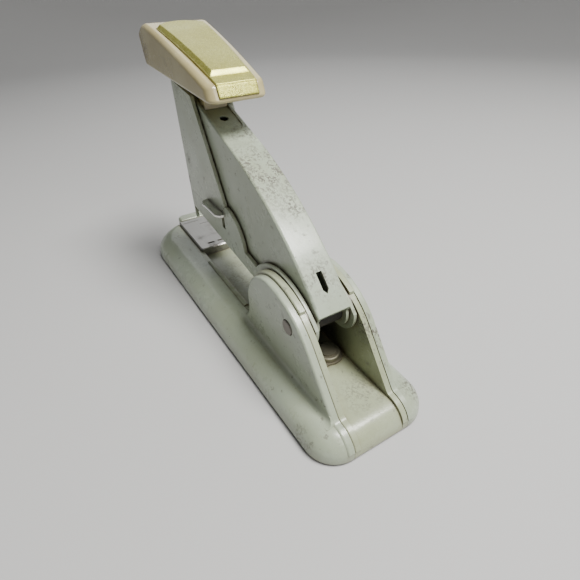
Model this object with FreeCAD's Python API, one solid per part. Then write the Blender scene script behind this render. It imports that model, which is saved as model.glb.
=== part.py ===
import FreeCAD, Part
import math
import os

# Long reach stapler, millimetres. +X points to the hinge end, +Z up, and Y = 0 is the plane that
# divides left (-Y) from right (+Y). The origin is the middle of the footprint, at the feet's soles.

V = FreeCAD.Vector
os.makedirs("parts", exist_ok=True)

# Base
FOOT_HEIGHT = 1.0
BASE_HALF_LENGTH = 129.0
BASE_HALF_WIDTH_FRONT = 39.9
BASE_HALF_WIDTH_REAR = 32.6
BASE_CORNER_FRONT = 36.0
BASE_CORNER_REAR = 16.0
BASE_TOP = 14.5
BASE_EDGE_ROUND = 11.5
BASE_FLOOR = 13.2
SHEET = 2.5
CHANNEL_HALF = 16.0
CHANNEL_INNER = 12.8
CHANNEL_FRONT = -117.0
FIN_HALF = 20.0
SEAM_GAP = 0.05
VISIBLE_SEAM = 0.15
THROAT_FLOOR = 11.0
THROAT_REAR = 27.0
RAIL_TOP = 15.9
RAIL_FRONT = -46.0

# Hinge pin shared by the arm and the handle
PIN = (78.4, 45.8)
PIN_RADIUS = 4.0
PIN_BORE = 4.05
EAR_RADIUS = 12.3

# Arm
ARM_TILT = 5.5
ARM_TRAVEL = 10.1
ARM_OUTER = 12.1
ARM_INNER = 10.1
COLUMN_FRONT = -75.0
COLUMN_CORNER = 8.5
COLUMN_CORNER_INSIDE = 3.8
COLUMN_SEAM = 63.8
NOSE_REAR = -66.0

# Anvil
ANVIL_TOP = 17.0
ANVIL_REAR = -62.0
STAPLE_CROWN_HALF = 6.35
STAPLE_WIRE = 0.6
PATH_X = -72.2

# Magazine, in the arm's own level axes before it is tilted
MAG_HALF = 7.3
MAG_WALL = 0.8
MAG_BOTTOM = 29.9
MAG_TOP = 40.9
MAG_FRONT = -70.9
MAG_REAR = 50.0

# Handle
HANDLE_HALF = 9.3
HANDLE_SHEET = 1.5
HANDLE_SLOPE = 19.5
HANDLE_NOSE_X = -60.0
HANDLE_NOSE_Z = 133.6
HANDLE_ARC = (-61.8, -77.9)
CROSS_PIN = (-60.0, 100.8)
CROSS_PIN_RADIUS = 2.3

# Grip cap
CAP_REAR = 6.4
CAP_FRONT = -98.5
CAP_HALF_REAR = 16.0
CAP_HALF_FRONT = 20.6
CAP_WALL = 2.6


class Outline:
    """A closed flat outline of straight and round stretches, in any two axes."""

    def __init__(self, a, b):
        self.points = [(a, b)]
        self.middles = []

    def line(self, a, b):
        self.middles.append(None)
        self.points.append((a, b))
        return self

    def through(self, middle, end):
        self.middles.append(middle)
        self.points.append(end)
        return self

    def around(self, centre, a, b, turn):
        """Arc about centre as far as the direction of (a, b); turn +1 is anticlockwise."""
        last_a, last_b = self.points[-1]
        radius = math.hypot(last_a - centre[0], last_b - centre[1])
        first = math.atan2(last_b - centre[1], last_a - centre[0])
        last = math.atan2(b - centre[1], a - centre[0])
        while (last - first) * turn <= 0:
            last += turn * 2 * math.pi
        half_way = (first + last) / 2
        middle = (centre[0] + radius * math.cos(half_way), centre[1] + radius * math.sin(half_way))
        end = (centre[0] + radius * math.cos(last), centre[1] + radius * math.sin(last))
        return self.through(middle, end)

    def face(self, place):
        middles = self.middles + [None]
        ends = self.points[1:] + [self.points[0]]
        edges = []
        for start, middle, end in zip(self.points, middles, ends):
            if math.dist(start, end) < 1e-6:
                continue
            if middle is None:
                edges.append(Part.LineSegment(place(*start), place(*end)).toShape())
            else:
                edges.append(Part.Arc(place(*start), place(*middle), place(*end)).toShape())
        return Part.Face(Part.Wire(edges))


def rounded(corners):
    """Outline of a polygon given as (a, b, corner radius)."""
    outline = None
    count = len(corners)
    for index, (a, b, radius) in enumerate(corners):
        before = corners[index - 1]
        after = corners[(index + 1) % count]
        to_before = unit(before[0] - a, before[1] - b)
        to_after = unit(after[0] - a, after[1] - b)
        half = math.acos(to_before[0] * to_after[0] + to_before[1] * to_after[1]) / 2
        reach = radius / math.tan(half)
        start = (a + to_before[0] * reach, b + to_before[1] * reach)
        end = (a + to_after[0] * reach, b + to_after[1] * reach)
        inward = unit(to_before[0] + to_after[0], to_before[1] + to_after[1])
        depth = radius / math.sin(half) - radius
        middle = (a + inward[0] * depth, b + inward[1] * depth)
        outline = outline.line(*start) if outline else Outline(*start)
        if radius > 0:
            outline.through(middle, end)
    return outline


def unit(a, b):
    length = math.hypot(a, b)
    return (a / length, b / length)


def side(outline, y_low, y_high):
    """Solid with its outline in X and Z."""
    return outline.face(lambda x, z: V(x, y_low, z)).extrude(V(0, y_high - y_low, 0))


def plan(outline, z_low, z_high):
    """Solid with its outline in X and Y."""
    return outline.face(lambda x, y: V(x, y, z_low)).extrude(V(0, 0, z_high - z_low))


def section(outline, x_low, x_high):
    """Solid with its outline in Y and Z."""
    return outline.face(lambda y, z: V(x_low, y, z)).extrude(V(x_high - x_low, 0, 0))


def box(x_low, x_high, y_low, y_high, z_low, z_high):
    return Part.makeBox(x_high - x_low, y_high - y_low, z_high - z_low, V(x_low, y_low, z_low))


def rod_y(centre, radius, y_low, y_high):
    return Part.makeCylinder(radius, y_high - y_low, V(centre[0], y_low, centre[1]), V(0, 1, 0))


def rod_z(x, y, radius, z_low, z_high):
    return Part.makeCylinder(radius, z_high - z_low, V(x, y, z_low))


def mirrored(shape):
    return shape.mirror(V(0, 0, 0), V(0, 1, 0))


def join(*shapes):
    return shapes[0].multiFuse(list(shapes[1:])).removeSplitter()


def round_where(shape, radius, wanted):
    """Round the edges for which wanted(bounding box) is true."""
    return shape.makeFillet(radius, [edge for edge in shape.Edges if wanted(edge.BoundBox)])


def turned(shape, degrees, centre=PIN):
    """Turn about a crossways axis; positive lifts the front."""
    copy = shape.copy()
    copy.rotate(V(centre[0], 0, centre[1]), V(0, 1, 0), degrees)
    return copy


def coil(x, y, z_low, z_high, radius, wire, turns):
    """Upright spring with its wire's axis on a helix."""
    height = z_high - z_low - 2 * wire
    helix = Part.makeHelix(height / turns, height, radius)
    ring = Part.Wire(Part.makeCircle(wire, V(radius, 0, 0), V(0, 1, 0)))
    spring = Part.Wire(helix).makePipeShell([ring], True, True)
    spring.translate(V(x, y, z_low + wire))
    return spring


def save(node, *solids):
    shape = solids[0] if len(solids) == 1 else Part.makeCompound(list(solids))
    shape.exportStep("parts/" + node + ".step")


# ---- Base -------------------------------------------------------------------------------------


def base_plan(inset):
    """Footprint of the base, drawn in from its edge by inset."""
    rear = BASE_HALF_LENGTH - inset
    half_rear = BASE_HALF_WIDTH_REAR - inset
    half_front = BASE_HALF_WIDTH_FRONT - inset
    corner_rear = BASE_CORNER_REAR - inset
    corner_front = BASE_CORNER_FRONT - inset
    return rounded([(rear, -half_rear, corner_rear), (rear, half_rear, corner_rear),
                    (-rear, half_front, corner_front), (-rear, -half_front, corner_front)])


def base_pan():
    """The whole base as one low block with a fully rounded top edge."""
    block = plan(base_plan(0), FOOT_HEIGHT, BASE_TOP)
    block = round_where(block, BASE_EDGE_ROUND, lambda b: b.ZMin > BASE_TOP - 0.01)
    return round_where(block, 0.8, lambda b: b.ZMax < FOOT_HEIGHT + 0.01)


def fin_outline():
    """Cheek of the base shell seen from the side."""
    return (Outline(17.2, 6.0)
            .line(17.2, 15.0)
            .around((17.2, 31.0), 33.2, 31.0, 1)
            .line(33.2, 33.5)
            .around((60.2, 33.5), 60.2, 60.5, -1)
            .around((60.2, 16.5), 95.3, 43.0, -1)
            .line(115.427, 16.372)
            .around((118.220, 18.481), 118.057, 14.985, 1)
            .around((117.5, 3.0), BASE_HALF_LENGTH, 6.428, -1)
            .line(BASE_HALF_LENGTH, 6.0))


def cheek_outline():
    """Cheek of the inner channel: a little taller than the fin as far as a notch behind its top."""
    notch_x = 83.0
    above = 17.0 + math.sqrt(45.0 ** 2 - (notch_x - 60.5) ** 2)
    below = 16.5 + math.sqrt(44.0 ** 2 - (notch_x - 60.2) ** 2)
    return (Outline(13.5, 6.0)
            .line(13.5, BASE_TOP)
            .around((13.5, 30.5), 29.5, 30.5, 1)
            .line(29.5, 31.0)
            .around((60.5, 31.0), 60.5, 62.0, -1)
            .around((60.5, 17.0), notch_x, above, -1)
            .line(notch_x, below)
            .around((60.2, 16.5), 95.3, 43.0, -1)
            .line(115.427, 16.372)
            .around((118.220, 18.481), 118.057, 14.985, 1)
            .around((117.5, 3.0), BASE_HALF_LENGTH, 6.428, -1)
            .line(BASE_HALF_LENGTH, 6.0))


def pin_bore(gap):
    return rod_y(PIN, PIN_RADIUS + gap, -30, 30)


def fin():
    """Right cheek of the shell with its outer rim rounded and a cove where it meets the shoulder."""
    plate = side(fin_outline(), CHANNEL_HALF + VISIBLE_SEAM, FIN_HALF)
    plate = round_where(plate, 1.4, lambda b: b.YMin > FIN_HALF - 0.01 and b.ZMax > 8.5)
    cove = 3.6
    low = BASE_TOP - 0.2
    profile = (Outline(FIN_HALF - 1.0, 11.5)
               .line(FIN_HALF + cove, 11.5)
               .line(FIN_HALF + cove, low)
               .around((FIN_HALF + cove, low + cove), FIN_HALF, low + cove, -1)
               .line(FIN_HALF - 1.0, low + cove))
    strip = section(profile, 12.0, 118.0).common(side(fin_outline(), FIN_HALF - 1.0, FIN_HALF + cove))
    run_out = Outline(10.0, 6.0).line(10.0, 60.0).line(80.0, 60.0).line(117.2, 14.4).line(117.2, 6.0)
    strip = strip.common(side(run_out, FIN_HALF - 1.0, FIN_HALF + cove))
    return join(plate, strip)


def base_shell():
    """Outer casting: rounded shoulders, the two fins, the nose bar and the slot for the channel."""
    nose = plan(rounded([(-117.1, -12.5, 2.0), (-117.1, 12.5, 2.0), (-127.6, 12.5, 5.0),
                         (-127.6, -12.5, 5.0)]), 6.0, 18.0)
    nose = round_where(nose, 1.9, lambda b: b.ZMin > 17.9)
    tight = CHANNEL_HALF + SEAM_GAP
    wide = CHANNEL_HALF + VISIBLE_SEAM
    front_slot = box(CHANNEL_FRONT - VISIBLE_SEAM, 30, -tight, tight, 0, 30)
    slot = join(front_slot, box(20, 140, -wide, wide, 0, 30))
    rib = 3.5
    cavity = plan(base_plan(6.0), 0, 10.0).cut(
        box(-140, 140, -CHANNEL_HALF - rib, CHANNEL_HALF + rib, -1, 12))
    for x, y in SCREW_PLACES:
        cavity = cavity.cut(rod_z(x, y, 3.4, -1, 12))
    shell = base_pan().cut(slot)
    shell = join(shell, fin(), mirrored(fin()), nose)
    shell = shell.cut(cavity).cut(plan(base_plan(3.4), 0, PLATE_TOP + SEAM_GAP)).cut(pin_bore(0.3))
    for x, y in SCREW_PLACES:
        shell = shell.cut(rod_z(x, y, 1.3, 0, 9.0))
    return shell


PLATE_TOP = 2.2
SCREW_PLACES = [(x, y) for x in (-85.0, 85.0) for y in (-24.0, 24.0)]
FOOT_PLACES = [(x, y) for x in (-100.0, 105.0) for y in (-23.6, 23.6)]


def base_channel():
    """Inner pressed channel: floor, low lips in front, tall cheeks round the hinge, rounded tail."""
    channel = base_pan().common(box(CHANNEL_FRONT, 140, -CHANNEL_HALF, CHANNEL_HALF, 0, 30))
    tail_x = BASE_HALF_LENGTH - BASE_EDGE_ROUND
    floor_cut = box(CHANNEL_FRONT - 1, 140, -CHANNEL_INNER, CHANNEL_INNER, BASE_FLOOR, 30)
    tail_cut = box(tail_x, 140, -CHANNEL_INNER, CHANNEL_INNER, BASE_FLOOR - BASE_EDGE_ROUND, 30)
    tail_cut = tail_cut.cut(rod_y((tail_x, BASE_FLOOR - BASE_EDGE_ROUND), BASE_EDGE_ROUND, -20, 20))
    throat_cut = box(CHANNEL_FRONT - 1, THROAT_REAR, -CHANNEL_INNER, CHANNEL_INNER, THROAT_FLOOR, 30)
    under_rear = box(THROAT_REAR + 3, 116, -CHANNEL_INNER, CHANNEL_INNER, -1, BASE_FLOOR - SHEET)
    under_throat = box(-113, THROAT_REAR + 3, -CHANNEL_INNER, CHANNEL_INNER, -1, THROAT_FLOOR - SHEET)
    cheek = side(cheek_outline(), CHANNEL_INNER, CHANNEL_HALF)
    cheek = round_where(cheek, 0.7, lambda b: b.YMin > CHANNEL_HALF - 0.01 and b.ZMax > 14.6)
    rail = box(RAIL_FRONT, 16.0, CHANNEL_INNER, CHANNEL_HALF, BASE_TOP - 2.0, RAIL_TOP)
    rail = round_where(rail, 1.3, lambda b: b.ZMin > RAIL_TOP - 0.01 and b.XMin < 15.0)
    channel = channel.cut(floor_cut).cut(tail_cut).cut(throat_cut).cut(under_rear).cut(under_throat)
    channel = join(channel, cheek, mirrored(cheek), rail, mirrored(rail))
    channel = channel.cut(plan(base_plan(3.4), 0, PLATE_TOP + SEAM_GAP)).cut(pin_bore(0.02))
    for x in ANVIL_RIVETS:
        channel = channel.cut(rod_z(x, 0, 1.85, 0, 20))
    return channel.cut(rod_z(*SPRING_BOSS, 2.05, 0, 20))


ANVIL_RIVETS = (-108.0, -80.0)
SPRING_BOSS = (78.0, 4.6)


def base_plate():
    plate = plan(base_plan(3.5), FOOT_HEIGHT, PLATE_TOP)
    for x, y in FOOT_PLACES:
        plate = plate.cut(rod_z(x, y, 2.1, 0, 5))
    for x, y in SCREW_PLACES:
        plate = plate.cut(screw_head(x, y, 0.05)).cut(rod_z(x, y, 1.4, 0, 5))
    return plate


def screw_head(x, y, gap):
    """Countersunk head, flush with the underside."""
    return Part.makeCone(2.6 + gap, 1.25 + gap, 1.1, V(x, y, FOOT_HEIGHT), V(0, 0, 1))


def base_screws():
    screws = []
    for x, y in SCREW_PLACES:
        screw = join(screw_head(x, y, 0), rod_z(x, y, 1.25, FOOT_HEIGHT, 8.4))
        driver_slot = box(x - 2.0, x + 2.0, y - 0.35, y + 0.35, 0, FOOT_HEIGHT + 0.6)
        screws.append(screw.cut(driver_slot))
    return screws


def base_feet():
    feet = []
    for x, y in FOOT_PLACES:
        sole = Part.makeCone(6.2, 6.6, FOOT_HEIGHT, V(x, y, 0))
        feet.append(join(sole, rod_z(x, y, 2.0, FOOT_HEIGHT, 2.3), rod_z(x, y, 2.8, 2.3, 3.8)))
    return feet


def anvil_plate():
    """Steel plate over the front of the floor, with two clinching pockets for the staple legs."""
    tongue = box(CHANNEL_FRONT + 0.1, ANVIL_REAR, -12.6, 12.6, THROAT_FLOOR, BASE_TOP + 0.1)
    half = 14.2
    front = CHANNEL_FRONT + 0.1
    top = plan(rounded([(ANVIL_REAR, -half, 2.0), (ANVIL_REAR, half, 2.0),
                        (front, half, 1.0), (front, -half, 1.0)]), BASE_TOP + 0.1, ANVIL_TOP)
    top = top.makeChamfer(0.8, [e for e in top.Edges if e.BoundBox.ZMin > ANVIL_TOP - 0.01])
    plate = join(tongue, top)
    pocket_radius = 4.65
    pocket_depth = 0.9
    for y in (-4.0, 4.0):
        centre = V(-69.7, y, ANVIL_TOP + pocket_radius - pocket_depth)
        plate = plate.cut(Part.makeCylinder(pocket_radius, 2.2, centre, V(1, 0, 0)))
    for x, y_low, y_high in ((-111.5, -12.6, 0.8), (-104.0, 0.0, 12.6)):
        plate = plate.cut(box(x - 0.35, x + 0.35, y_low, y_high, ANVIL_TOP - 0.5, ANVIL_TOP + 1))
    for x in ANVIL_RIVETS:
        plate = plate.cut(rod_z(x, 0, 1.85, 0, BASE_TOP + 0.6))
    return plate


def anvil_rivets():
    rivets = []
    under = THROAT_FLOOR - SHEET
    for x in ANVIL_RIVETS:
        shank = rod_z(x, 0, 1.8, under - 1.4, BASE_TOP + 0.5)
        rivets.append(join(shank, rod_z(x, 0, 3.2, under - 1.4, under)))
    return rivets


def hinge_pin():
    """Through pin with slightly domed ends."""
    end = FIN_HALF + 0.6
    pin = rod_y(PIN, PIN_RADIUS, -end, end)
    return round_where(pin, 0.5, lambda b: b.YMin > end - 0.01 or b.YMax < 0.01 - end)


def washers(y_low, y_high, outer):
    ring = rod_y(PIN, outer, y_low, y_high).cut(rod_y(PIN, PIN_BORE, y_low - 1, y_high + 1))
    return [ring, mirrored(ring)]


LEAF_HALF = 6.0


def lift_spring():
    """Leaf that lifts the arm: flat under its rivet, then rising forward to the magazine."""
    low = BASE_FLOOR
    thick = 1.0
    outline = (Outline(85.0, low)
               .line(85.0, low + thick)
               .line(68.8, low + thick)
               .through((63.2, 16.3), (59.0, 20.6))
               .line(48.6, 32.0)
               .line(47.9, 31.3)
               .line(58.3, 19.9)
               .through((62.7, 15.4), (68.8, low)))
    leaf = join(side(outline, -LEAF_HALF, LEAF_HALF), rod_z(*SPRING_BOSS, 7.8, low, low + thick))
    return leaf.cut(rod_z(*SPRING_BOSS, 2.05, 0, 30))


def spring_rivet():
    """Round boss with a stepped top that holds the leaf down, riveted under the floor."""
    top = BASE_FLOOR + 1.0
    under = BASE_FLOOR - SHEET
    head = rod_z(*SPRING_BOSS, 6.8, top, top + 2.6)
    crown = rod_z(*SPRING_BOSS, 4.6, top + 2.6, top + 3.4)
    head = head.makeFillet(0.9, [edge for edge in head.Edges if edge.BoundBox.ZMin > top + 2.5])
    tail = rod_z(*SPRING_BOSS, 3.4, under - 1.4, under)
    return join(rod_z(*SPRING_BOSS, 2.0, under - 1.4, top), head, crown, tail)


# ---- Arm --------------------------------------------------------------------------------------


def arm_outline():
    """Arm plate seen from the side: nose strip, swept notch, hump and ear round the pin."""
    ear_start = (PIN[0] - EAR_RADIUS * 0.4226, PIN[1] - EAR_RADIUS * 0.9063)
    return (Outline(NOSE_REAR, 50.8)
            .line(23.0, 42.0)
            .line(60.0, 38.4)
            .line(*ear_start)
            .around(PIN, 91.2, 48.0, 1)
            .through((76.5, 58.6), (59.6, 62.8))
            .through((43.5, 59.9), (30.8, 51.2))
            .line(17.0, 53.5)
            .around((-6.0, 50.0), -5.0, 73.3, 1)
            .line(-10.5, 68.8)
            .through((-26.0, 65.2), (-43.0, COLUMN_SEAM))
            .line(NOSE_REAR, COLUMN_SEAM))


LATCH_SLOT = (-13.2, -8.8, 57.0, 67.9)
WEB_LOW = 42.0
WEB_HIGH = 43.5


def arm_frame():
    """Two pressed plates joined by a web above the magazine and a bent ledge for the latch spring."""
    plate = side(arm_outline(), ARM_INNER, ARM_OUTER)
    plate = round_where(plate, 0.5, lambda b: b.YMin > ARM_OUTER - 0.01 and b.XMin > 17.1)
    bore = rod_y(PIN, PIN_BORE, -20, 20)
    web = turned(box(-60.0, -15.2, -ARM_INNER, ARM_INNER, WEB_LOW, WEB_HIGH), ARM_TILT)
    ledge = turned(box(-20.0, -3.0, -ARM_INNER, -7.5, 36.9, 38.3), ARM_TILT)
    x_low, x_high, z_low, z_high = LATCH_SLOT
    frame = join(plate, mirrored(plate), web, ledge).cut(bore)
    return frame.cut(box(x_low, x_high, -14, -ARM_INNER + 0.05, z_low, z_high))


def column_outline():
    gap = 0.15
    return (Outline(COLUMN_FRONT, COLUMN_SEAM + gap)
            .line(-43.0, COLUMN_SEAM + gap)
            .through((-26.2, 65.2 + gap), (-10.7, 68.8 + gap))
            .line(-5.6, 73.3)
            .line(-33.0, 123.0)
            .line(-36.2, 128.8)
            .line(COLUMN_FRONT, 134.5))


def column_wrap(z_low, z_high, rear):
    """Sheet bent round the front of the arm, as seen from above."""
    outer = rounded([(rear, -ARM_OUTER, 0), (rear, ARM_OUTER, 0),
                     (COLUMN_FRONT, ARM_OUTER, COLUMN_CORNER), (COLUMN_FRONT, -ARM_OUTER, COLUMN_CORNER)])
    inner = column_inside(rear + 5, COLUMN_CORNER_INSIDE)
    return plan(outer, z_low, z_high).cut(plan(inner, z_low - 1, z_high + 1))


def column_inside(rear, corner):
    front = COLUMN_FRONT + ARM_OUTER - ARM_INNER
    return rounded([(rear, -ARM_INNER, 0), (rear, ARM_INNER, 0),
                    (front, ARM_INNER, corner), (front, -ARM_INNER, corner)])


def column_cover():
    return column_wrap(60, 140, 0).common(side(column_outline(), -20, 20))


def nose_plate():
    """Lower front of the column; its foot lies flat on the anvil when the arm is down."""
    wrap = column_wrap(36.0, COLUMN_SEAM, NOSE_REAR - SEAM_GAP)
    below = turned(box(-110, -40, -20, 20, -20, ANVIL_TOP + 0.1), ARM_TRAVEL)
    return wrap.cut(below)


def magazine_channel():
    body = box(MAG_FRONT, MAG_REAR, -MAG_HALF, MAG_HALF, MAG_BOTTOM, MAG_TOP)
    inner = MAG_HALF - MAG_WALL
    body = body.cut(box(MAG_FRONT - 1, MAG_REAR + 1, -inner, inner, MAG_BOTTOM + MAG_WALL, MAG_TOP + 1))
    round_tail = section(rounded([(-MAG_HALF, MAG_BOTTOM, 1.2), (MAG_HALF, MAG_BOTTOM, 1.2),
                                  (MAG_HALF, MAG_TOP, 0), (-MAG_HALF, MAG_TOP, 0)]), -90, 90)
    return turned(body.common(round_tail), ARM_TILT)


CORE_HALF = 5.5
CORE_TOP = 39.8
STRIP_REAR = -12.0


def staple_core():
    """Inverted rail inside the magazine that the staples straddle."""
    low = MAG_BOTTOM + MAG_WALL
    rail = box(MAG_FRONT + 0.3, MAG_REAR - 4.0, -CORE_HALF, CORE_HALF, low, CORE_TOP)
    rail = rail.cut(box(MAG_FRONT - 1, MAG_REAR, -CORE_HALF + 0.9, CORE_HALF - 0.9, low - 1, CORE_TOP - 0.9))
    return turned(rail, ARM_TILT)


def staple_strip():
    """Row of joined staples, each leaning with the blade's path."""
    low = MAG_BOTTOM + MAG_WALL + 0.3
    crown_top = CORE_TOP + 0.1 + STAPLE_WIRE
    staple = section(rounded([(-STAPLE_CROWN_HALF, low, 0), (STAPLE_CROWN_HALF, low, 0),
                              (STAPLE_CROWN_HALF, crown_top, 0.5), (-STAPLE_CROWN_HALF, crown_top, 0.5)]),
                     MAG_FRONT, STRIP_REAR)
    inner = STAPLE_CROWN_HALF - STAPLE_WIRE
    strip = staple.cut(box(MAG_FRONT - 1, STRIP_REAR + 1, -inner, inner, low - 1, CORE_TOP + 0.1))
    for step in range(1, 12):
        x = MAG_FRONT + step * (STRIP_REAR - MAG_FRONT) / 12
        strip = strip.cut(box(x - 0.1, x + 0.1, -9, 9, crown_top - 0.15, crown_top + 1))
    return turned(strip, ARM_TILT)


def pusher():
    """Follower that straddles the core behind the strip."""
    low = MAG_BOTTOM + MAG_WALL + 0.3
    front = STRIP_REAR + 0.2
    top = MAG_TOP - 0.2
    block = box(front, front + 9.0, -STAPLE_CROWN_HALF, STAPLE_CROWN_HALF, low, top)
    inner = CORE_HALF + 0.15
    block = block.cut(box(front - 1, front + 10, -inner, inner, low - 1, CORE_TOP + 0.15))
    return turned(block, ARM_TILT)


def magazine_stop():
    """Block that closes the rear of the magazine."""
    low = MAG_BOTTOM + MAG_WALL
    inner = MAG_HALF - MAG_WALL
    block = box(MAG_REAR - 3.8, MAG_REAR - 0.3, -inner, inner, low, MAG_TOP - 0.4)
    return turned(block, ARM_TILT)


def magazine_hanger():
    """Saddle that carries the magazine under the web."""
    outer = MAG_HALF + 1.1
    saddle = box(-54.0, -21.0, -outer, outer, 33.0, WEB_LOW)
    saddle = saddle.cut(box(-60.0, -10.0, -MAG_HALF - SEAM_GAP, MAG_HALF + SEAM_GAP, 30.0, MAG_TOP + 0.1))
    return turned(saddle, ARM_TILT)


def pusher_spring():
    """Long light spring inside the core that draws the follower forward."""
    spring = coil(0, 0, 0, 44.0, 2.4, 0.35, 16)
    spring.rotate(V(0, 0, 0), V(0, 1, 0), 90)
    spring.translate(V(-56.0, 0, 34.6))
    return turned(spring, ARM_TILT)


def driver_guide():
    """Block that backs the blade and closes the column above the nose."""
    block = box(-71.6, -62.0, -ARM_INNER, ARM_INNER, COLUMN_SEAM, 76.0)
    return block.common(plan(column_inside(0, COLUMN_CORNER_INSIDE + 0.6), 0, 100))


SPRING_X = -45.0
SPRING_SEAT = 60.0
SPRING_TOP = 110.0


def spring_post():
    """Collar and rod that centre the handle's return spring, standing on the arm's web."""
    post = join(rod_z(SPRING_X, 0, 6.2, 50.0, SPRING_SEAT), rod_z(SPRING_X, 0, 2.4, 50.0, 91.0))
    return post.cut(turned(box(-90, 0, -10, 10, 20, WEB_HIGH), ARM_TILT))


def return_spring():
    return coil(SPRING_X, 0, SPRING_SEAT, SPRING_TOP, 4.4, 0.8, 9)


def release_latch():
    """Finger tab outside the left plate, its neck through the slot and its foot on a small spring."""
    plate = -ARM_OUTER - 0.15
    tab = plan(Outline(-6.0, plate)
               .line(-6.0, -13.4)
               .through((-7.9, -16.3), (-12.0, -17.5))
               .line(-26.0, -17.5)
               .through((-32.6, -16.4), (-35.0, plate)), 66.9, 68.3)
    tab = round_where(tab, 0.5, lambda b: b.ZMin > 68.2 and b.YMin < plate - 0.1)
    inside = -ARM_INNER + 0.1
    neck = box(-13.0, -9.0, plate - 0.1, inside, 66.4, 67.7)
    strip = box(-13.0, -9.0, inside, inside + 0.5, 56.0, 67.7)
    foot = box(-13.5, -8.5, inside, -7.7, 56.0, 57.2)
    return join(tab, neck, strip, foot)


def latch_spring():
    ledge_top = 38.3
    z_low = PIN[1] + (PIN[0] + 11.0) * math.sin(math.radians(ARM_TILT)) - (PIN[1] - ledge_top) + 0.45
    return coil(-11.0, -8.75, z_low, 55.9, 0.75, 0.22, 6)


# ---- Handle -----------------------------------------------------------------------------------


def handle_top(depth):
    """Start and end of the straight stretch of the handle's top, and the arc's radius, at a depth."""
    slope = math.radians(HANDLE_SLOPE)
    shift = (-depth * math.sin(slope), -depth * math.cos(slope))
    nose = (HANDLE_NOSE_X + shift[0], HANDLE_NOSE_Z + shift[1])
    bend = (5.0 + shift[0], HANDLE_NOSE_Z - 65.0 * math.tan(slope) + shift[1])
    return nose, bend


def handle_outline():
    nose, bend = handle_top(0)
    flange = 9.3
    return (Outline(-60.0, 124.0)
            .line(*nose)
            .line(*bend)
            .around(HANDLE_ARC, 88.5, 52.8, -1)
            .line(PIN[0] + flange * 0.9272, PIN[1] + flange * 0.3746)
            .around(PIN, 70.0, 39.5, -1)
            .line(45.0, 45.0)
            .line(23.0, 49.5)
            .line(15.0, 50.5)
            .around((-6.0, 50.0), -9.6, 71.0, 1)
            .line(-38.0, 122.0))


def handle_hollow():
    """Space inside the handle's inverted U, open below and at both ends."""
    nose, bend = handle_top(HANDLE_SHEET)
    ahead = 20.0
    front = (nose[0] - ahead, nose[1] + ahead * math.tan(math.radians(HANDLE_SLOPE)))
    inner = HANDLE_HALF - HANDLE_SHEET
    outline = (Outline(front[0], 20.0)
               .line(*front)
               .line(*bend)
               .around(HANDLE_ARC, 110.0, 20.0, -1)
               .line(110.0, 20.0))
    return side(outline, -inner, inner)


def across_handle(shape, x, slope):
    """Set a shape made about the origin onto the handle's straight top at x."""
    copy = shape.copy()
    copy.rotate(V(0, 0, 0), V(0, 1, 0), slope)
    z = HANDLE_NOSE_Z - (x - HANDLE_NOSE_X) * math.tan(math.radians(HANDLE_SLOPE))
    copy.translate(V(x, 0, z))
    return copy


CAP_SCREW_X = (-50.0, -35.0)


def handle_lever():
    """Pressed inverted U from the grip to the hinge, with the cap's seat and the rear slot."""
    lever = side(handle_outline(), -HANDLE_HALF, HANDLE_HALF)
    lever = round_where(lever, 1.2, lambda b: abs(b.YMax - b.YMin) < 0.01 and b.XLength > 60
                        and b.ZLength > 20 and b.ZMax > 100 and b.XMin > -61)
    lever = lever.cut(handle_hollow()).cut(rod_y(PIN, PIN_BORE, -20, 20))
    seat = plan(Outline(0.0, -7.0).around((0.0, 0.0), 0.0, 7.0, 1).line(-70.0, 7.0).line(-70.0, -7.0), -0.7, 3)
    lever = lever.cut(across_handle(seat, -12.0, HANDLE_SLOPE))
    lever = lever.cut(across_handle(rod_z(0, 0, 2.5, -4, 3), -18.8, HANDLE_SLOPE))
    for x in CAP_SCREW_X:
        lever = lever.cut(across_handle(rod_z(0, 0, 1.7, -4, 3), x, HANDLE_SLOPE))
    half_long = 5.6
    half_wide = 1.6
    hole = plan(Outline(-half_long, -half_wide).line(half_long - 2.2, -half_wide).line(half_long, 0)
                .line(half_long - 2.2, half_wide).line(-half_long, half_wide), -4, 4)
    hole.rotate(V(0, 0, 0), V(0, 1, 0), 42.8)
    hole.translate(V(77.4, 0, 62.8))
    return lever.cut(hole)


def handle_bracket():
    """Bracket welded inside the handle: it carries the cross pin and seats the return spring."""
    outer = HANDLE_HALF - HANDLE_SHEET
    lug = (Outline(-38.0, 112.0)
           .line(-38.0, 140.0)
           .line(-59.5, 140.0)
           .line(-64.0, CROSS_PIN[1])
           .around(CROSS_PIN, CROSS_PIN[0] + 4.0, CROSS_PIN[1], 1)
           .line(-54.5, 108.5)
           .line(-38.0, 108.5))
    sides = side(lug, -outer, outer).common(handle_hollow())
    sides = sides.cut(side(Outline(-90, 0).line(-90, 140).line(0, 140).line(0, 0), -6.3, 6.3))
    shelf = box(-54.0, -38.0, -outer, outer, SPRING_TOP, SPRING_TOP + 1.5)
    return join(sides, shelf).cut(rod_y(CROSS_PIN, CROSS_PIN_RADIUS + 0.02, -20, 20))


def cross_pin():
    half = HANDLE_HALF - HANDLE_SHEET - 0.1
    return rod_y(CROSS_PIN, CROSS_PIN_RADIUS, -half, half)


def pivot_bush():
    half = HANDLE_HALF - HANDLE_SHEET - 0.1
    return rod_y(PIN, 6.3, -half, half).cut(rod_y(PIN, PIN_BORE, -20, 20))


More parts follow.
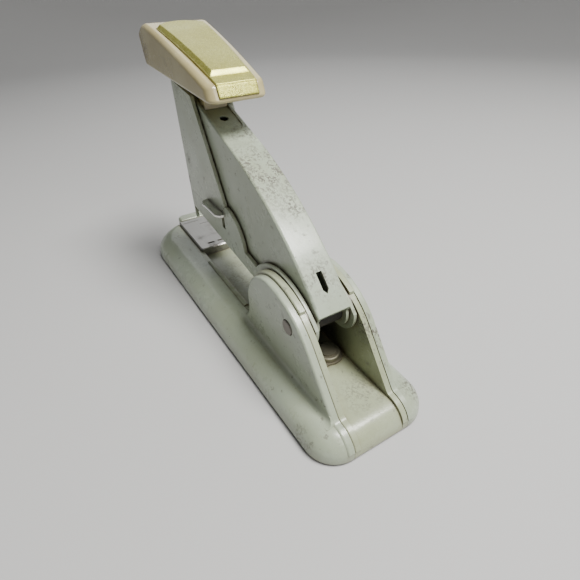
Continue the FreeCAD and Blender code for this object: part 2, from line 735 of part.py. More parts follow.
def driver_crosshead():
    """Forked block pushed down by the cross pin; it slides inside the column."""
    half_slot = CROSS_PIN_RADIUS + 0.35
    block = box(PATH_X + 0.4, -56.0, -6.0, 6.0, 95.0, 106.2)
    slot_front = CROSS_PIN[0] - 6.2
    fork = side(Outline(-50.0, CROSS_PIN[1] - half_slot)
                .line(-50.0, CROSS_PIN[1] + half_slot)
                .line(slot_front, CROSS_PIN[1] + half_slot)
                .around((slot_front, CROSS_PIN[1]), slot_front, CROSS_PIN[1] - half_slot, 1), -10, 10)
    block = block.cut(fork)
    for z in DRIVER_RIVETS:
        block = block.cut(Part.makeCylinder(0.95, 2.6, V(PATH_X, 0, z), V(1, 0, 0)))
    return block


DRIVER_RIVETS = (96.4, 105.0)


def driver_blade():
    blade = box(PATH_X - 0.4, PATH_X + 0.4, -6.2, 6.2, 60.6, 106.2)
    for z in DRIVER_RIVETS:
        blade = blade.cut(Part.makeCylinder(0.95, 4, V(PATH_X - 2, 0, z), V(1, 0, 0)))
    return blade


def driver_rivets():
    rivets = []
    for z in DRIVER_RIVETS:
        shank = Part.makeCylinder(0.9, 2.9, V(PATH_X - 0.6, 0, z), V(1, 0, 0))
        rivets.append(shank)
    return rivets


# ---- Grip cap ---------------------------------------------------------------------------------


CAP_TOP_FRONT = (-74.0, 161.3)
CAP_TOP_MIDDLE = (-35.0, 151.0)
CAP_TOP_REAR = (2.6, 138.7)
CAP_LOW_REAR = (CAP_REAR, 130.6)
CAP_LOW_FRONT = (-94.5, 140.7)
CAP_BOSS_HALF = 6.8


def cap_profile():
    return (Outline(*CAP_LOW_REAR)
            .line(*CAP_TOP_REAR)
            .through(CAP_TOP_MIDDLE, CAP_TOP_FRONT)
            .through((-88.0, 159.3), (-96.6, 151.0))
            .line(*CAP_LOW_FRONT))


def cap_plan():
    rear = CAP_REAR + 1.0
    front = CAP_FRONT - 1.0
    return (Outline(rear, -CAP_HALF_REAR)
            .line(rear, CAP_HALF_REAR)
            .line(front, CAP_HALF_FRONT)
            .line(front, -CAP_HALF_FRONT))


def under_cap(point):
    """Height of a point above the cap's sloping lower rim."""
    slope = (CAP_LOW_FRONT[1] - CAP_LOW_REAR[1]) / (CAP_LOW_REAR[0] - CAP_LOW_FRONT[0])
    return point.z - CAP_LOW_REAR[1] - (CAP_LOW_REAR[0] - point.x) * slope


def on_rim(edge):
    return all(abs(under_cap(vertex.Point)) < 0.01 for vertex in edge.Vertexes)


def cap_body():
    """Outer form of the grip: tapered block with its corners, lower rim and top edges rounded."""
    body = side(cap_profile(), -30, 30).common(plan(cap_plan(), 100, 170))
    body = round_where(body, 5.0, lambda b: b.XMin > 2 and b.YLength < 2 and b.ZLength > 5)
    body = round_where(body, 9.0, lambda b: b.XMax < -94 and b.YLength < 2 and b.ZLength > 5)
    body = body.makeFillet(1.5, [edge for edge in body.Edges if on_rim(edge)])
    return round_where(body, 3.0, is_cap_top)


def is_cap_top(b):
    """True for the edges of the top face, leaving out its crosswise joint and the upright corners."""
    crosswise = b.XLength < 0.1 and -75 < b.XMax < -73
    upright = b.YLength < 0.3 and b.ZLength > 9 and b.XMax < -84
    return b.ZMin > 138.0 and b.ZMax > 141.5 * (b.XMax < -75) and not crosswise and not upright


def inlay_plan(grow, rear):
    """Tapered plate with a bowed front edge."""
    half_rear = 10.7 + grow + (3.6 - rear) * 0.066
    half_front = 15.3 + grow
    return (Outline(rear, -half_rear)
            .line(rear, half_rear)
            .line(-66.0, half_front)
            .through((-72.4 - grow, 0.0), (-66.0, -half_front)))


def cap_skin(above, below):
    """Layer that follows the cap's top, from a height above it to a depth below it."""
    (rear_x, rear_z), (mid_x, mid_z), (front_x, front_z) = CAP_TOP_REAR, CAP_TOP_MIDDLE, CAP_TOP_FRONT
    return side(Outline(rear_x + 3.0, rear_z - 0.9 + above)
                .through((mid_x, mid_z + above), (front_x - 4.0, front_z + above))
                .line(front_x - 4.0, front_z - below)
                .through((mid_x, mid_z - below), (rear_x + 3.0, rear_z - 0.9 - below)), -30, 30)


def rear_lip(inside, outside, bottom, half):
    """Strip along the cap's sloping rear face."""
    face = (CAP_LOW_REAR[0] - CAP_TOP_REAR[0], CAP_LOW_REAR[1] - CAP_TOP_REAR[1])
    down = unit(*face)
    out = (-down[1], down[0])
    corners = []
    for along, away in ((0.2, -inside), (0.2, outside), (bottom, outside), (bottom, -inside)):
        corners.append((CAP_TOP_REAR[0] + down[0] * along + out[0] * away,
                        CAP_TOP_REAR[1] + down[1] * along + out[1] * away, 0))
    return side(rounded(corners), -half, half)


def cap_room():
    """Plan of the space inside the grip."""
    rear = CAP_LOW_REAR[0] - 2 * CAP_WALL
    front = CAP_LOW_FRONT[0] + CAP_WALL + 0.6
    half_rear = CAP_HALF_REAR + 0.2 - CAP_WALL
    half_front = CAP_HALF_FRONT - 0.4 - CAP_WALL
    return rounded([(rear, -half_rear, 2.4), (rear, half_rear, 2.4),
                    (front, half_front, 6.4), (front, -half_front, 6.4)])


INLAY_REAR = 3.2
LIP_LENGTH = 6.0


def palm_cap():
    """Hollow moulded grip with a central boss that sits on the handle and a recess for its inlay."""
    body = cap_body()
    lowered = side(cap_profile(), -30, 30)
    lowered.translate(V(0, 0, -CAP_WALL - 0.6))
    under = lowered.common(plan(cap_room(), 90, 170))
    bounds = lowered.copy()
    bounds.translate(V(0, 0, 0.5))
    tall = bounds.fuse(box(-60.0, -20.0, -10, 10, 100, 140))
    boss = box(-56.0, -29.0, -CAP_BOSS_HALF, CAP_BOSS_HALF, 110.0, 158.0).common(tall)
    below = across_handle(box(-60, 60, -12, 12, -60, -0.65), -45.0, HANDLE_SLOPE)
    body = join(body.cut(under), boss.cut(below))
    body = body.cut(plan(inlay_plan(0.1, INLAY_REAR + 3.0), 120, 170).common(cap_skin(6.0, 1.1)))
    body = body.cut(rear_lip(0.8, 3.0, LIP_LENGTH + 0.1, 11.0))
    for x in CAP_SCREW_X:
        body = body.cut(across_handle(rod_z(0, 0, 1.45, -2, 11.0), x, HANDLE_SLOPE))
    return body


def cap_inlay():
    """Raised panel on a thin plate, stepped at the rear and turned down over the cap's end."""
    plate = plan(inlay_plan(0, INLAY_REAR), 120, 170).common(cap_skin(0.9, 1.0))
    panel = plan(inlay_plan(-0.7, INLAY_REAR - 7.0), 120, 170).common(cap_skin(2.7, 0.5))
    top_face = max((face for face in panel.Faces if face.Area > 800), key=lambda f: f.CenterOfMass.z)
    panel = panel.makeChamfer(1.6, top_face.Edges)
    return join(plate, panel, rear_lip(0.7, 0.7, LIP_LENGTH, 10.7))


def cap_screws():
    """Screws up through the handle into the cap's boss."""
    screws = []
    for x in CAP_SCREW_X:
        head = rod_z(0, 0, 2.9, -HANDLE_SHEET - 2.0, -HANDLE_SHEET - 0.05)
        screw = join(rod_z(0, 0, 1.4, -2.0, 10.4), head)
        screws.append(across_handle(screw, x, HANDLE_SLOPE))
    return screws


def main():
    save("base_shell", base_shell())
    save("base_channel", base_channel())
    save("base_plate", base_plate())
    save("base_screws", *base_screws())
    save("base_feet", *base_feet())
    save("anvil_plate", anvil_plate())
    save("anvil_rivets", *anvil_rivets())
    save("hinge_pin", hinge_pin())
    save("outer_washers", *washers(ARM_OUTER + 0.1, CHANNEL_INNER - 0.1, 9.5))
    save("inner_washers", *washers(HANDLE_HALF + 0.1, ARM_INNER - 0.1, 8.5))
    save("lift_spring", lift_spring())
    save("spring_rivet", spring_rivet())
    save("arm_frame", arm_frame())
    save("column_cover", column_cover())
    save("nose_plate", nose_plate())
    save("magazine_channel", magazine_channel())
    save("staple_core", staple_core())
    save("staple_strip", staple_strip())
    save("pusher", pusher())
    save("pusher_spring", pusher_spring())
    save("magazine_stop", magazine_stop())
    save("magazine_hanger", magazine_hanger())
    save("driver_guide", driver_guide())
    save("spring_post", spring_post())
    save("return_spring", return_spring())
    save("release_latch", release_latch())
    save("latch_spring", latch_spring())
    save("handle_lever", handle_lever())
    save("handle_bracket", handle_bracket())
    save("cross_pin", cross_pin())
    save("pivot_bush", pivot_bush())
    save("driver_crosshead", driver_crosshead())
    save("driver_blade", driver_blade())
    save("driver_rivets", *driver_rivets())
    save("palm_cap", palm_cap())
    save("cap_inlay", cap_inlay())
    save("cap_screws", *cap_screws())


main()
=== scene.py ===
import math

import bpy
from mathutils import Matrix, Vector


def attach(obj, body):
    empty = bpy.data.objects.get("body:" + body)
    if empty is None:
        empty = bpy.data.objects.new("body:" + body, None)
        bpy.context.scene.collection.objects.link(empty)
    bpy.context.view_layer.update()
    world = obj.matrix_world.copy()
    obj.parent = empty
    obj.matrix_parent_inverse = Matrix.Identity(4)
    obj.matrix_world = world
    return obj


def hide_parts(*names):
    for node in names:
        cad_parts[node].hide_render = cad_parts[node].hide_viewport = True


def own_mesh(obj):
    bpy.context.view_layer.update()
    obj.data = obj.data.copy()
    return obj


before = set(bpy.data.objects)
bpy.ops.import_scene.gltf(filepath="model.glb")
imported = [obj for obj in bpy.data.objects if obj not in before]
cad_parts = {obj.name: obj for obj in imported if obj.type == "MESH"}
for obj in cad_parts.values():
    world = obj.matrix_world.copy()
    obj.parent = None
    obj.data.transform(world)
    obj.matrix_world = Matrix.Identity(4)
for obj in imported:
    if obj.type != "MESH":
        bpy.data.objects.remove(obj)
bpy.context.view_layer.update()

# ---- Camera, floor and light ------------------------------------------------------------------


CAMERA_PLACE = (0.2045, -0.0889, 0.1746)
CAMERA_TURN_DEG = (60.547, 36.603, -2.442)
CAMERA_LENS_MM = 25.1
CAMERA_FILM_MM = 36.0


def add_camera():
    """A close view from the hinge end, above and to the left."""
    azimuth, elevation, roll = (math.radians(angle) for angle in CAMERA_TURN_DEG)
    back = Vector((math.sin(azimuth) * math.cos(elevation),
                   -math.cos(azimuth) * math.cos(elevation),
                   math.sin(elevation)))
    forward = -back
    right = forward.cross(Vector((0, 0, 1))).normalized()
    up = right.cross(forward)
    right_rolled = math.cos(roll) * right + math.sin(roll) * up
    up_rolled = -math.sin(roll) * right + math.cos(roll) * up
    turn = Matrix((right_rolled, up_rolled, back)).transposed().to_4x4()
    data = bpy.data.cameras.new("camera")
    data.lens = CAMERA_LENS_MM
    data.sensor_width = CAMERA_FILM_MM
    data.clip_start = 0.01
    camera = bpy.data.objects.new("camera", data)
    camera.matrix_world = Matrix.Translation(CAMERA_PLACE) @ turn
    bpy.context.scene.collection.objects.link(camera)
    bpy.context.scene.camera = camera


def add_light(name, place, target, size, watts, colour):
    data = bpy.data.lights.new(name, "AREA")
    data.shape = "RECTANGLE"
    data.size = size[0]
    data.size_y = size[1]
    data.energy = watts
    data.color = colour
    light = bpy.data.objects.new(name, data)
    aim = Vector(target) - Vector(place)
    light.matrix_world = Matrix.Translation(place) @ aim.to_track_quat("-Z", "Y").to_matrix().to_4x4()
    bpy.context.scene.collection.objects.link(light)


FLOOR_RADIUS = 1.3
SWEEP_RADIUS = 0.9
SWEEP_STEPS = 12
WALL_TOP = 1.7
STAGE_SIDES = 72
PAPER_COLOUR = (0.44, 0.44, 0.435, 1)
PAPER_ROUGHNESS = 0.75


def stage_profile():
    """Radius and height of each ring, from the middle of the floor to the top of the wall."""
    profile = [(0.001, 0.0), (FLOOR_RADIUS, 0.0)]
    for step in range(1, SWEEP_STEPS + 1):
        angle = math.pi / 2 * step / SWEEP_STEPS
        profile.append((FLOOR_RADIUS + SWEEP_RADIUS * math.sin(angle),
                        SWEEP_RADIUS * (1 - math.cos(angle))))
    profile.append((FLOOR_RADIUS + SWEEP_RADIUS, WALL_TOP))
    return profile


def add_stage():
    """Pale floor that sweeps up into a low round wall."""
    profile = stage_profile()
    places = []
    for radius, height in profile:
        for step in range(STAGE_SIDES):
            angle = 2 * math.pi * step / STAGE_SIDES
            places.append((radius * math.cos(angle), radius * math.sin(angle), height))
    faces = []
    for ring in range(len(profile) - 1):
        for step in range(STAGE_SIDES):
            after = (step + 1) % STAGE_SIDES
            low = ring * STAGE_SIDES
            high = low + STAGE_SIDES
            faces.append((low + step, high + step, high + after, low + after))
    faces.append(tuple(range(STAGE_SIDES)))
    mesh = bpy.data.meshes.new("floor")
    mesh.from_pydata(places, [], faces)
    for polygon in mesh.polygons:
        polygon.use_smooth = True
    floor = bpy.data.objects.new("floor", mesh)
    bpy.context.scene.collection.objects.link(floor)
    paper = bpy.data.materials.new("floor_paper")
    paper.use_nodes = True
    shader = paper.node_tree.nodes["Principled BSDF"]
    shader.inputs["Base Color"].default_value = PAPER_COLOUR
    shader.inputs["Roughness"].default_value = PAPER_ROUGHNESS
    mesh.materials.append(paper)


SKY_COLOUR = (0.93, 0.95, 1.0, 1)
SKY_STRENGTH = 0.13
LIGHT_AIM = (0, 0, 0.05)
# Name, place, size, watts and colour.
LIGHTS = [
    ("key", (0.42, 0.28, 1.15), (0.5, 0.5), 32.0, (1.0, 0.985, 0.96)),
    ("rear", (1.0, 0.10, 0.75), (0.5, 0.5), 4.0, (1.0, 0.99, 0.97)),
    ("back", (-1.05, 0.55, 0.85), (1.0, 0.8), 3.0, (0.98, 0.99, 1.0)),
    ("left_fill", (0.2, -1.2, 0.5), (0.8, 0.8), 0.2, (0.95, 0.97, 1.0)),
]


def add_studio():
    """A dim even sky with one strong soft light overhead and three weak ones."""
    world = bpy.data.worlds.new("studio")
    world.use_nodes = True
    sky = world.node_tree.nodes["Background"]
    sky.inputs["Color"].default_value = SKY_COLOUR
    sky.inputs["Strength"].default_value = SKY_STRENGTH
    bpy.context.scene.world = world
    for name, place, size, watts, colour in LIGHTS:
        add_light(name, place, LIGHT_AIM, size, watts, colour)


# ---- Material building blocks -----------------------------------------------------------------


SHADE_SAMPLES = 6


class Nodes:
    """Short calls for wiring one material; positions are in metres on the resting object."""

    def __init__(self, name):
        self.material = bpy.data.materials.new(name)
        self.material.use_nodes = True
        self.tree = self.material.node_tree
        self.shader = self.tree.nodes["Principled BSDF"]
        place = self.add("ShaderNodeTexCoord")
        self.position = place.outputs["Object"]
        self.normal = place.outputs["Normal"]

    def add(self, kind, **settings):
        node = self.tree.nodes.new(kind)
        for key, value in settings.items():
            setattr(node, key, value)
        return node

    def put(self, socket, value):
        if isinstance(value, bpy.types.NodeSocket):
            self.tree.links.new(value, socket)
        else:
            socket.default_value = value

    def stretched(self, scale):
        node = self.add("ShaderNodeMapping")
        self.put(node.inputs["Vector"], self.position)
        node.inputs["Scale"].default_value = scale
        return node.outputs["Vector"]

    def noise(self, scale, detail=4.0, roughness=0.55, at=None, distortion=0.0):
        node = self.add("ShaderNodeTexNoise")
        self.put(node.inputs["Vector"], at or self.position)
        node.inputs["Scale"].default_value = scale
        node.inputs["Detail"].default_value = detail
        node.inputs["Roughness"].default_value = roughness
        node.inputs["Distortion"].default_value = distortion
        return node.outputs["Fac"]

    def remap(self, value, low, high, to_low=0.0, to_high=1.0):
        node = self.add("ShaderNodeMapRange")
        self.put(node.inputs["Value"], value)
        node.inputs["From Min"].default_value = low
        node.inputs["From Max"].default_value = high
        node.inputs["To Min"].default_value = to_low
        node.inputs["To Max"].default_value = to_high
        return node.outputs["Result"]

    def math(self, operation, first, second):
        node = self.add("ShaderNodeMath", operation=operation)
        self.put(node.inputs[0], first)
        self.put(node.inputs[1], second)
        return node.outputs[0]

    def mix(self, fac, first, second):
        node = self.add("ShaderNodeMix", data_type="RGBA")
        self.put(node.inputs["Factor"], fac)
        self.put(node.inputs["A"], first if isinstance(first, bpy.types.NodeSocket) else (*first, 1))
        self.put(node.inputs["B"], second if isinstance(second, bpy.types.NodeSocket) else (*second, 1))
        return node.outputs["Result"]

    def hollows(self, distance):
        """1 in tight corners, 0 in the open."""
        node = self.add("ShaderNodeAmbientOcclusion", samples=SHADE_SAMPLES)
        node.inputs["Distance"].default_value = distance
        return self.remap(node.outputs["AO"], 0.85, 0.35)

    def edges(self, distance):
        """1 on outward edges, 0 on open faces."""
        node = self.add("ShaderNodeAmbientOcclusion", samples=SHADE_SAMPLES, inside=True)
        node.inputs["Distance"].default_value = distance
        return self.remap(node.outputs["AO"], 0.62, 0.86)

    def near(self, centre, radius, soft=0.6):
        """1 around a place, fading to 0 at radius."""
        node = self.add("ShaderNodeVectorMath", operation="DISTANCE")
        self.put(node.inputs[0], self.position)
        node.inputs[1].default_value = centre
        return self.remap(node.outputs["Value"], radius, radius * soft)

    def facing_up(self):
        """1 on faces that look upwards, 0 on upright ones."""
        node = self.add("ShaderNodeSeparateXYZ")
        self.put(node.inputs["Vector"], self.normal)
        return self.remap(node.outputs["Z"], 0.25, 0.55)

    def soft_edges(self, radius):
        """Shading normal that rounds off the sharp edges of a panel."""
        node = self.add("ShaderNodeBevel", samples=SHADE_SAMPLES)
        node.inputs["Radius"].default_value = radius
        return node.outputs["Normal"]

    def bump(self, height, strength, distance, under=None):
        node = self.add("ShaderNodeBump")
        self.put(node.inputs["Height"], height)
        node.inputs["Strength"].default_value = strength
        node.inputs["Distance"].default_value = distance
        if under:
            self.put(node.inputs["Normal"], under)
        return node.outputs["Normal"]

    def surface(self, colour, roughness, normal=None, metallic=None):
        self.put(self.shader.inputs["Base Color"], colour)
        self.put(self.shader.inputs["Roughness"], roughness)
        if normal:
            self.put(self.shader.inputs["Normal"], normal)
        if metallic is not None:
            self.put(self.shader.inputs["Metallic"], metallic)
        return self.material


GRIME_AND_SHADE_WIDE = (0.190, 0.145, 0.062)
GRIME_SEAM = (0.090, 0.064, 0.026)
PAINTED_SHADOW_COLOUR = (0.016, 0.013, 0.009)


def enamel_paint(n, tint):
    """Mottled paint under a thin uneven film of dirt."""
    cloudy = n.noise(24.0, 5.0, 0.6)
    film = n.noise(330.0, 4.0, 0.65)
    light = tuple(c * 1.07 for c in tint)
    dull = (tint[0] * 0.93, tint[1] * 0.92, tint[2] * 0.84)
    colour = n.mix(n.remap(cloudy, 0.36, 0.66), light, dull)
    return n.mix(n.remap(film, 0.50, 0.75, 0.0, 0.16), colour, (0.19, 0.18, 0.14))


def enamel_chips(n, worn_places):
    """1 where the paint is gone: a few strays, the worn places and the outward edges."""
    stray = n.remap(n.noise(820.0, 3.0, 0.7), 0.70, 0.73)
    chips = n.math("MULTIPLY", stray, n.remap(n.noise(48.0, 3.0, 0.6), 0.56, 0.66))
    for centre, radius, amount, everywhere in worn_places:
        spots = n.remap(n.noise(700.0, 4.0, 0.72), 0.485, 0.535)
        clusters = n.remap(n.noise(140.0, 4.0, 0.65), 0.38, 0.52)
        worn = n.math("MULTIPLY", n.math("MULTIPLY", spots, clusters), n.near(centre, radius, 0.25))
        if not everywhere:
            worn = n.math("MULTIPLY", worn, n.facing_up())
        chips = n.math("MAXIMUM", chips, n.math("MULTIPLY", worn, amount))
    rim = n.math("MULTIPLY", n.edges(0.0009), n.remap(n.noise(210.0, 5.0, 0.7), 0.60, 0.66))
    return n.math("MAXIMUM", chips, n.math("MULTIPLY", rim, 0.6))


def enamel(name, tint, grime_and_shade_amount, worn_places, painted_shadow_places=()):
    """Old sage-green enamel: mottled, dirty in its seams, darkened by grime and painted shade in its
    wider hollows and by painted shadow at the given places, rubbed and chipped in a few places.
    """
    n = Nodes(name)
    colour = enamel_paint(n, tint)
    # Painted shade: the wider hollows, such as the recess under the arm, are darkened brown; this is part
    # grime, part shade.
    wide_grime_and_shade = n.math("MULTIPLY", n.hollows(0.016), n.remap(n.noise(95.0, 5.0, 0.7), 0.30, 0.66))
    wide_grime_and_shade = n.math("MULTIPLY", wide_grime_and_shade, grime_and_shade_amount * 0.75)
    colour = n.mix(wide_grime_and_shade, colour, GRIME_AND_SHADE_WIDE)
    # Painted shadow: near-black patches at these places stand in for the shade under the arm.
    for centre, radius in painted_shadow_places:
        colour = n.mix(n.math("MULTIPLY", n.near(centre, radius, 0.45), 0.92), colour, PAINTED_SHADOW_COLOUR)
    seam = n.math("MULTIPLY", n.hollows(0.0034), n.remap(n.noise(200.0, 4.0, 0.7), 0.25, 0.52))
    colour = n.mix(n.math("MULTIPLY", seam, grime_and_shade_amount), colour, GRIME_SEAM)
    chips = enamel_chips(n, worn_places)
    bare = n.mix(n.noise(1400.0), (0.060, 0.054, 0.040), (0.150, 0.140, 0.108))
    colour = n.mix(chips, colour, bare)
    roughness = n.remap(n.noise(60.0, 6.0, 0.65), 0.25, 0.75, 0.20, 0.40)
    roughness = n.math("ADD", roughness, n.math("MULTIPLY", n.math("MAXIMUM", chips, wide_grime_and_shade), 0.3))
    peel = n.bump(n.noise(520.0, 2.0, 0.5), 0.08, 0.0006)
    pits = n.bump(n.math("SUBTRACT", 1.0, chips), 0.30, 0.0003, peel)
    n.shader.inputs["Coat Weight"].default_value = 0.25
    n.shader.inputs["Coat Roughness"].default_value = 0.14
    return n.surface(colour, roughness, pits)


def brushed(name, dark, light, along, roughness_low, roughness_high, dirt):
    """Bare or plated steel with fine drawn lines along one axis."""
    n = Nodes(name)
    scale = [1400.0, 1400.0, 1400.0]
    scale[along] = 40.0
    lines = n.noise(1.0, 3.0, 0.6, at=n.stretched(scale))
    stain = n.noise(90.0, 5.0, 0.65)
    colour = n.mix(lines, dark, light)
    grime = n.math("MULTIPLY", n.math("MAXIMUM", n.hollows(0.004), n.remap(stain, 0.55, 0.72)), dirt)
    colour = n.mix(grime, colour, (0.07, 0.05, 0.03))
    roughness = n.remap(n.math("ADD", lines, n.math("MULTIPLY", stain, 0.6)), 0.5, 1.1,
                        roughness_low, roughness_high)
    metallic = n.math("SUBTRACT", 1.0, n.math("MULTIPLY", grime, 0.7))
    return n.surface(colour, roughness, n.bump(lines, 0.12, 0.0002), metallic)


def plated(name):
    """Bright plating with fingerprints and a few pits."""
    n = Nodes(name)
    smudge = n.noise(160.0, 5.0, 0.6)
    pits = n.remap(n.noise(1100.0, 3.0, 0.7), 0.68, 0.72)
    colour = n.mix(n.remap(smudge, 0.3, 0.7), (0.80, 0.80, 0.78), (0.62, 0.61, 0.56))
    colour = n.mix(pits, colour, (0.20, 0.15, 0.10))
    return n.surface(colour, n.remap(smudge, 0.3, 0.75, 0.10, 0.34), n.bump(pits, -0.3, 0.0002), 1.0)


def grip_plastic():
    """Aged cream plastic, yellowed unevenly, with a greasy patch on its front left."""
    n = Nodes("grip_plastic")
    cloudy = n.noise(34.0, 5.0, 0.6)
    colour = n.mix(n.remap(cloudy, 0.35, 0.68), (0.440, 0.392, 0.215), (0.370, 0.315, 0.150))
    rub = n.noise(260.0, 6.0, 0.72, distortion=0.4)
    hand = n.math("MULTIPLY", n.near((-0.090, -0.0195, 0.147), 0.017, 0.3), n.remap(rub, 0.42, 0.58))
    low = n.math("MULTIPLY", n.near((-0.055, -0.0185, 0.139), 0.020, 0.3), n.remap(rub, 0.50, 0.62))
    corner = n.math("MULTIPLY", n.hollows(0.0025), n.remap(n.noise(180.0), 0.35, 0.6))
    specks = n.remap(n.noise(800.0, 4.0, 0.7), 0.70, 0.74, 0.0, 0.4)
    dirt = n.math("MAXIMUM", n.math("MULTIPLY", hand, 0.85), n.math("MULTIPLY", corner, 0.8))
    dirt = n.math("MAXIMUM", n.math("MAXIMUM", dirt, specks), n.math("MULTIPLY", low, 0.35))
    colour = n.mix(dirt, colour, (0.100, 0.070, 0.036))
    roughness = n.remap(n.noise(85.0, 5.0), 0.3, 0.7, 0.14, 0.30)
    roughness = n.math("ADD", roughness, n.math("MULTIPLY", dirt, 0.3))
    scratches = n.noise(1.0, 4.0, 0.7, at=n.stretched((160.0, 2200.0, 600.0)))
    n.shader.inputs["Coat Weight"].default_value = 0.4
    n.shader.inputs["Coat Roughness"].default_value = 0.07
    return n.surface(colour, roughness, n.bump(scratches, 0.04, 0.0003))


def gilt():
    """Pale gold inlay with fine metal flake under a clear coat."""
    n = Nodes("inlay_gilt")
    rub = n.noise(55.0, 5.0, 0.6)
    flake = n.add("ShaderNodeTexVoronoi")
    n.put(flake.inputs["Vector"], n.position)
    flake.inputs["Scale"].default_value = 2300.0
    sparkle = n.add("ShaderNodeSeparateColor")
    n.put(sparkle.inputs["Color"], flake.outputs["Color"])
    shade = sparkle.outputs["Red"]
    colour = n.mix(n.remap(rub, 0.35, 0.66), (0.560, 0.555, 0.130), (0.470, 0.455, 0.085))
    colour = n.mix(n.remap(shade, 0.55, 1.0, 0.0, 0.55), colour, (0.82, 0.81, 0.34))
    colour = n.mix(n.remap(shade, 0.35, 0.0, 0.0, 0.45), colour, (0.34, 0.29, 0.11))
    colour = n.mix(n.math("MULTIPLY", n.hollows(0.0022), 0.85), colour, (0.17, 0.12, 0.04))
    specks = n.remap(n.noise(900.0, 4.0, 0.7), 0.70, 0.74)
    colour = n.mix(specks, colour, (0.16, 0.12, 0.05))
    roughness = n.remap(n.math("ADD", rub, n.math("MULTIPLY", shade, 0.4)), 0.4, 1.0, 0.26, 0.46)
    n.shader.inputs["Coat Weight"].default_value = 0.15
    n.shader.inputs["Coat Roughness"].default_value = 0.10
    return n.surface(colour, roughness, n.bump(shade, 0.20, 0.0003, n.soft_edges(0.0011)), 0.80)


def soot():
    """Old black grease with lint in it."""
    n = Nodes("greasy_soot")
    lint = n.noise(400.0, 5.0, 0.7)
    colour = n.mix(n.remap(lint, 0.5, 0.75), (0.012, 0.010, 0.008), (0.060, 0.052, 0.038))
    return n.surface(colour, n.remap(lint, 0.3, 0.7, 0.55, 0.85), n.bump(lint, 0.3, 0.0004))


def rubber():
    n = Nodes("rubber")
    dust = n.noise(300.0, 5.0, 0.7)
    colour = n.mix(n.remap(dust, 0.45, 0.7), (0.022, 0.022, 0.021), (0.075, 0.070, 0.060))
    return n.surface(colour, n.remap(dust, 0.3, 0.7, 0.62, 0.86), n.bump(dust, 0.2, 0.0003))


# Worn places: centre, radius, strength, and whether upright faces are worn too.
HANDLE_WEAR = [((0.026, 0.0, 0.102), 0.030, 1.0, False), ((0.075, 0.0, 0.064), 0.014, 0.9, False),
               ((-0.004, 0.004, 0.112), 0.016, 0.7, False), ((0.046, 0.004, 0.089), 0.012, 0.9, False)]
SHELL_WEAR = [((0.118, 0.029, 0.012), 0.011, 1.0, True), ((0.110, -0.031, 0.004), 0.009, 0.9, True),
              ((-0.126, 0.0, 0.018), 0.010, 0.7, True), ((0.099, 0.018, 0.038), 0.011, 1.0, False)]
CHANNEL_WEAR = [((0.094, 0.0145, 0.044), 0.013, 1.0, True), ((0.108, 0.004, 0.0140), 0.016, 0.5, True),
                ((-0.020, 0.0, 0.011), 0.030, 0.5, True)]
COLUMN_WEAR = [((-0.060, -0.0121, 0.087), 0.005, 1.0, True), ((-0.068, -0.0121, 0.072), 0.005, 1.0, True)]
# Painted shadow under the arm: centre and radius.
PAINTED_SHADOW_PLACES = [((0.062, 0.004, 0.026), 0.030)]
SAGE = (0.335, 0.383, 0.300)


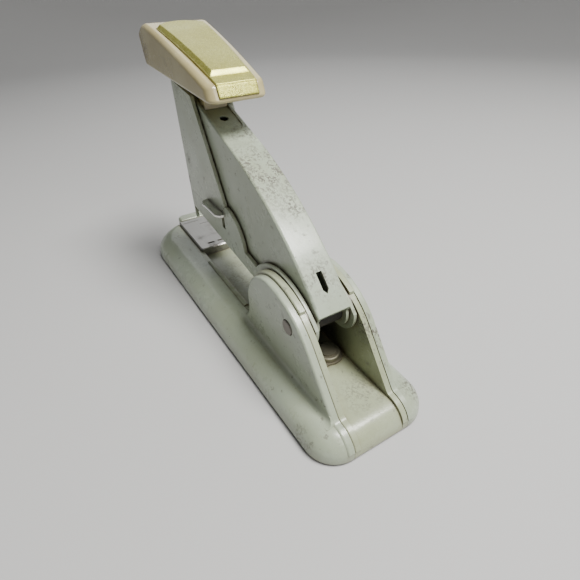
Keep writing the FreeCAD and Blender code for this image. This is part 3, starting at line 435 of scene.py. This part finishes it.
def make_materials():
    soiled = (SAGE[0] * 0.98, SAGE[1] * 0.95, SAGE[2] * 0.84)
    return {
        "shell": enamel("enamel_shell", SAGE, 0.85, SHELL_WEAR),
        "channel": enamel("enamel_channel", soiled, 1.0, CHANNEL_WEAR, PAINTED_SHADOW_PLACES),
        "column": enamel("enamel_column", SAGE, 0.9, COLUMN_WEAR),
        "handle": enamel("enamel_handle", SAGE, 0.9, HANDLE_WEAR),
        "plate_steel": brushed("anvil_steel", (0.30, 0.295, 0.275), (0.48, 0.475, 0.45), 0,
                               0.28, 0.44, 0.55),
        "oiled": brushed("oiled_steel", (0.13, 0.12, 0.11), (0.27, 0.25, 0.22), 0, 0.38, 0.6, 0.6),
        "dusty": brushed("dusty_steel", (0.19, 0.18, 0.13), (0.32, 0.30, 0.22), 2, 0.50, 0.70, 0.75),
        "soot": soot(),
        "spring": brushed("spring_steel", (0.26, 0.25, 0.23), (0.44, 0.43, 0.40), 2, 0.25, 0.5, 0.5),
        "chrome": plated("chrome_plate"),
        "cap": grip_plastic(),
        "inlay": gilt(),
        "rubber": rubber(),
    }


NODE_FINISH = {
    "shell": ["base_shell"],
    "channel": ["base_channel"],
    "column": ["arm_frame", "column_cover", "nose_plate"],
    "handle": ["handle_lever"],
    "plate_steel": ["anvil_plate", "magazine_channel", "staple_strip", "driver_blade", "cross_pin"],
    "oiled": ["hinge_pin", "base_plate", "base_screws", "anvil_rivets", "outer_washers", "inner_washers",
              "staple_core", "magazine_stop", "magazine_hanger", "driver_guide",
              "spring_post", "pusher", "handle_bracket", "cap_screws",
              "driver_crosshead", "driver_rivets"],
    "dusty": ["spring_rivet", "lift_spring"],
    "soot": ["pivot_bush"],
    "spring": ["return_spring", "latch_spring", "pusher_spring"],
    "chrome": ["release_latch"],
    "cap": ["palm_cap"],
    "inlay": ["cap_inlay"],
    "rubber": ["base_feet"],
}


def finish_nodes(materials):
    for finish, names in NODE_FINISH.items():
        for name in names:
            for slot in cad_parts[name].material_slots:
                slot.material = materials[finish]


# Name, the CAD node it stands for, body, joint, fixed end, share of its height kept, finish.
SPRINGS = [
    ("lift_leaf", "lift_spring", "base", "arm_hinge", (0.0770, 0.0, 0.0132), 0.70, "dusty"),
    ("return_coil", "return_spring", "arm", "handle_hinge", (-0.0450, 0.0, 0.0600), 0.71, "spring"),
    ("latch_coil", "latch_spring", "arm", "latch_slide", (-0.0110, -0.0088, 0.0473), 0.52, "spring"),
]


def add_working_springs(materials):
    """Copies of the CAD springs in their own finishes, in the shapes of the CAD springs, attached to
    their bodies in place of them.
    """
    for name, node, body, joint, anchor, keep, finish in SPRINGS:
        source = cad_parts[node]
        spring = bpy.data.objects.new(name, source.data.copy())
        bpy.context.scene.collection.objects.link(spring)
        spring.matrix_world = source.matrix_world.copy()
        spring.data.materials.clear()
        spring.data.materials.append(materials[finish])
        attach(spring, body)
        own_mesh(spring)
        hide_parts(node)


add_camera()
add_stage()
add_studio()
finishes = make_materials()
finish_nodes(finishes)
add_working_springs(finishes)
